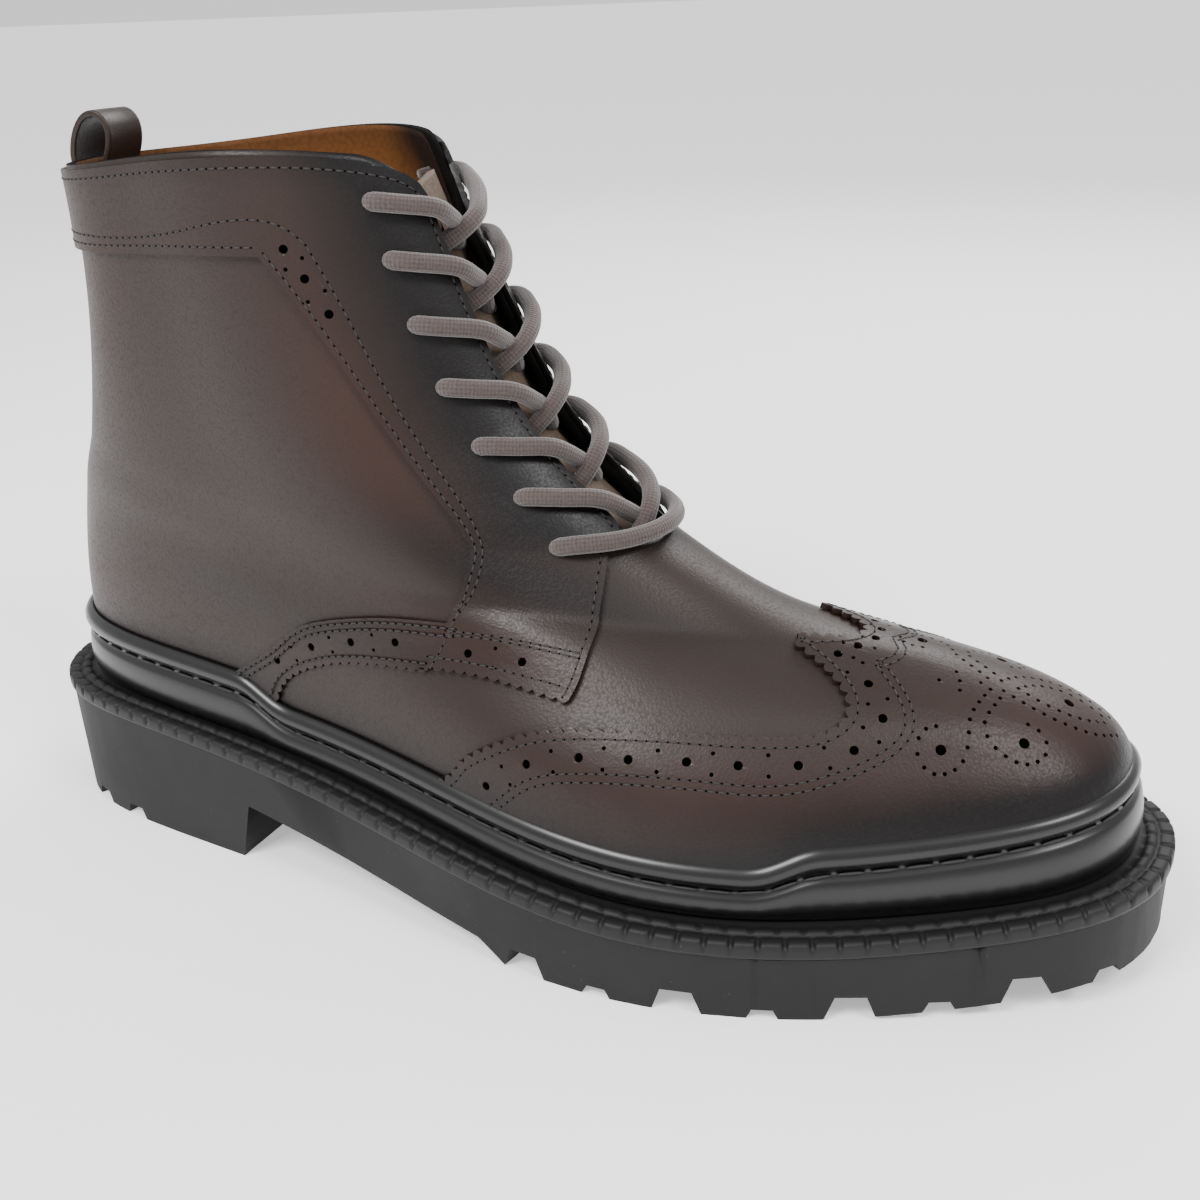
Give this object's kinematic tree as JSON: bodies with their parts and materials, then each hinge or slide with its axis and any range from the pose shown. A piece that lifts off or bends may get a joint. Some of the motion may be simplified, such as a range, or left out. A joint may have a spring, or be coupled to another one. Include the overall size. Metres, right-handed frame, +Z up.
{
  "type": "brogue boot",
  "caption": "Right lace-up ankle boot with a wing toe cap, punched overlays, an inner side zip, a back pull loop and a one-piece lug sole with heel.",
  "frame": {"origin": "middle of the boot's footprint, on the floor", "axes": "+X to the toe, +Z up, -Y to the wearer's outer side"},
  "size_m": [0.312, 0.1144, 0.1887],
  "materials": {
    "sole_rubber": "matte black rubber",
    "welt_rubber": "matte black rubber",
    "rand_gloss": "polished black",
    "upper_leather": "burnished dark brown, satin",
    "overlay_leather": "burnished dark brown, satin",
    "insole_leather": "tan, matte",
    "tongue_leather": "taupe, matte",
    "lace_cord": "woven taupe cord",
    "zip_cloth": "dark woven tape and teeth",
    "zip_metal": "dark satin metal"
  },
  "bodies": {
    "boot": {"outsole": "sole_rubber", "welt": "welt_rubber", "rand": "rand_gloss", "upper": "upper_leather", "insole": "insole_leather", "tongue": "tongue_leather", "wing_cap": "overlay_leather", "facing_outer": "overlay_leather", "facing_inner": "overlay_leather", "collar_band_inner": "overlay_leather", "quarter_band_outer": "overlay_leather", "quarter_band_inner": "overlay_leather", "lace": "lace_cord", "pull_loop": "tongue_leather", "zip_chain": "zip_cloth", "zip_slider": "zip_metal"},
    "pull_tab": {"zip_pull": "zip_metal"}
  },
  "joints": [
    {"name": "pull_tab_hinge", "type": "hinge", "parent": "boot", "child": "pull_tab", "pos_m": [-0.08901, 0.04707, 0.17147], "axis": [0.9775, 0.029, 0.2088], "range_deg": [0, 150]}
  ]
}
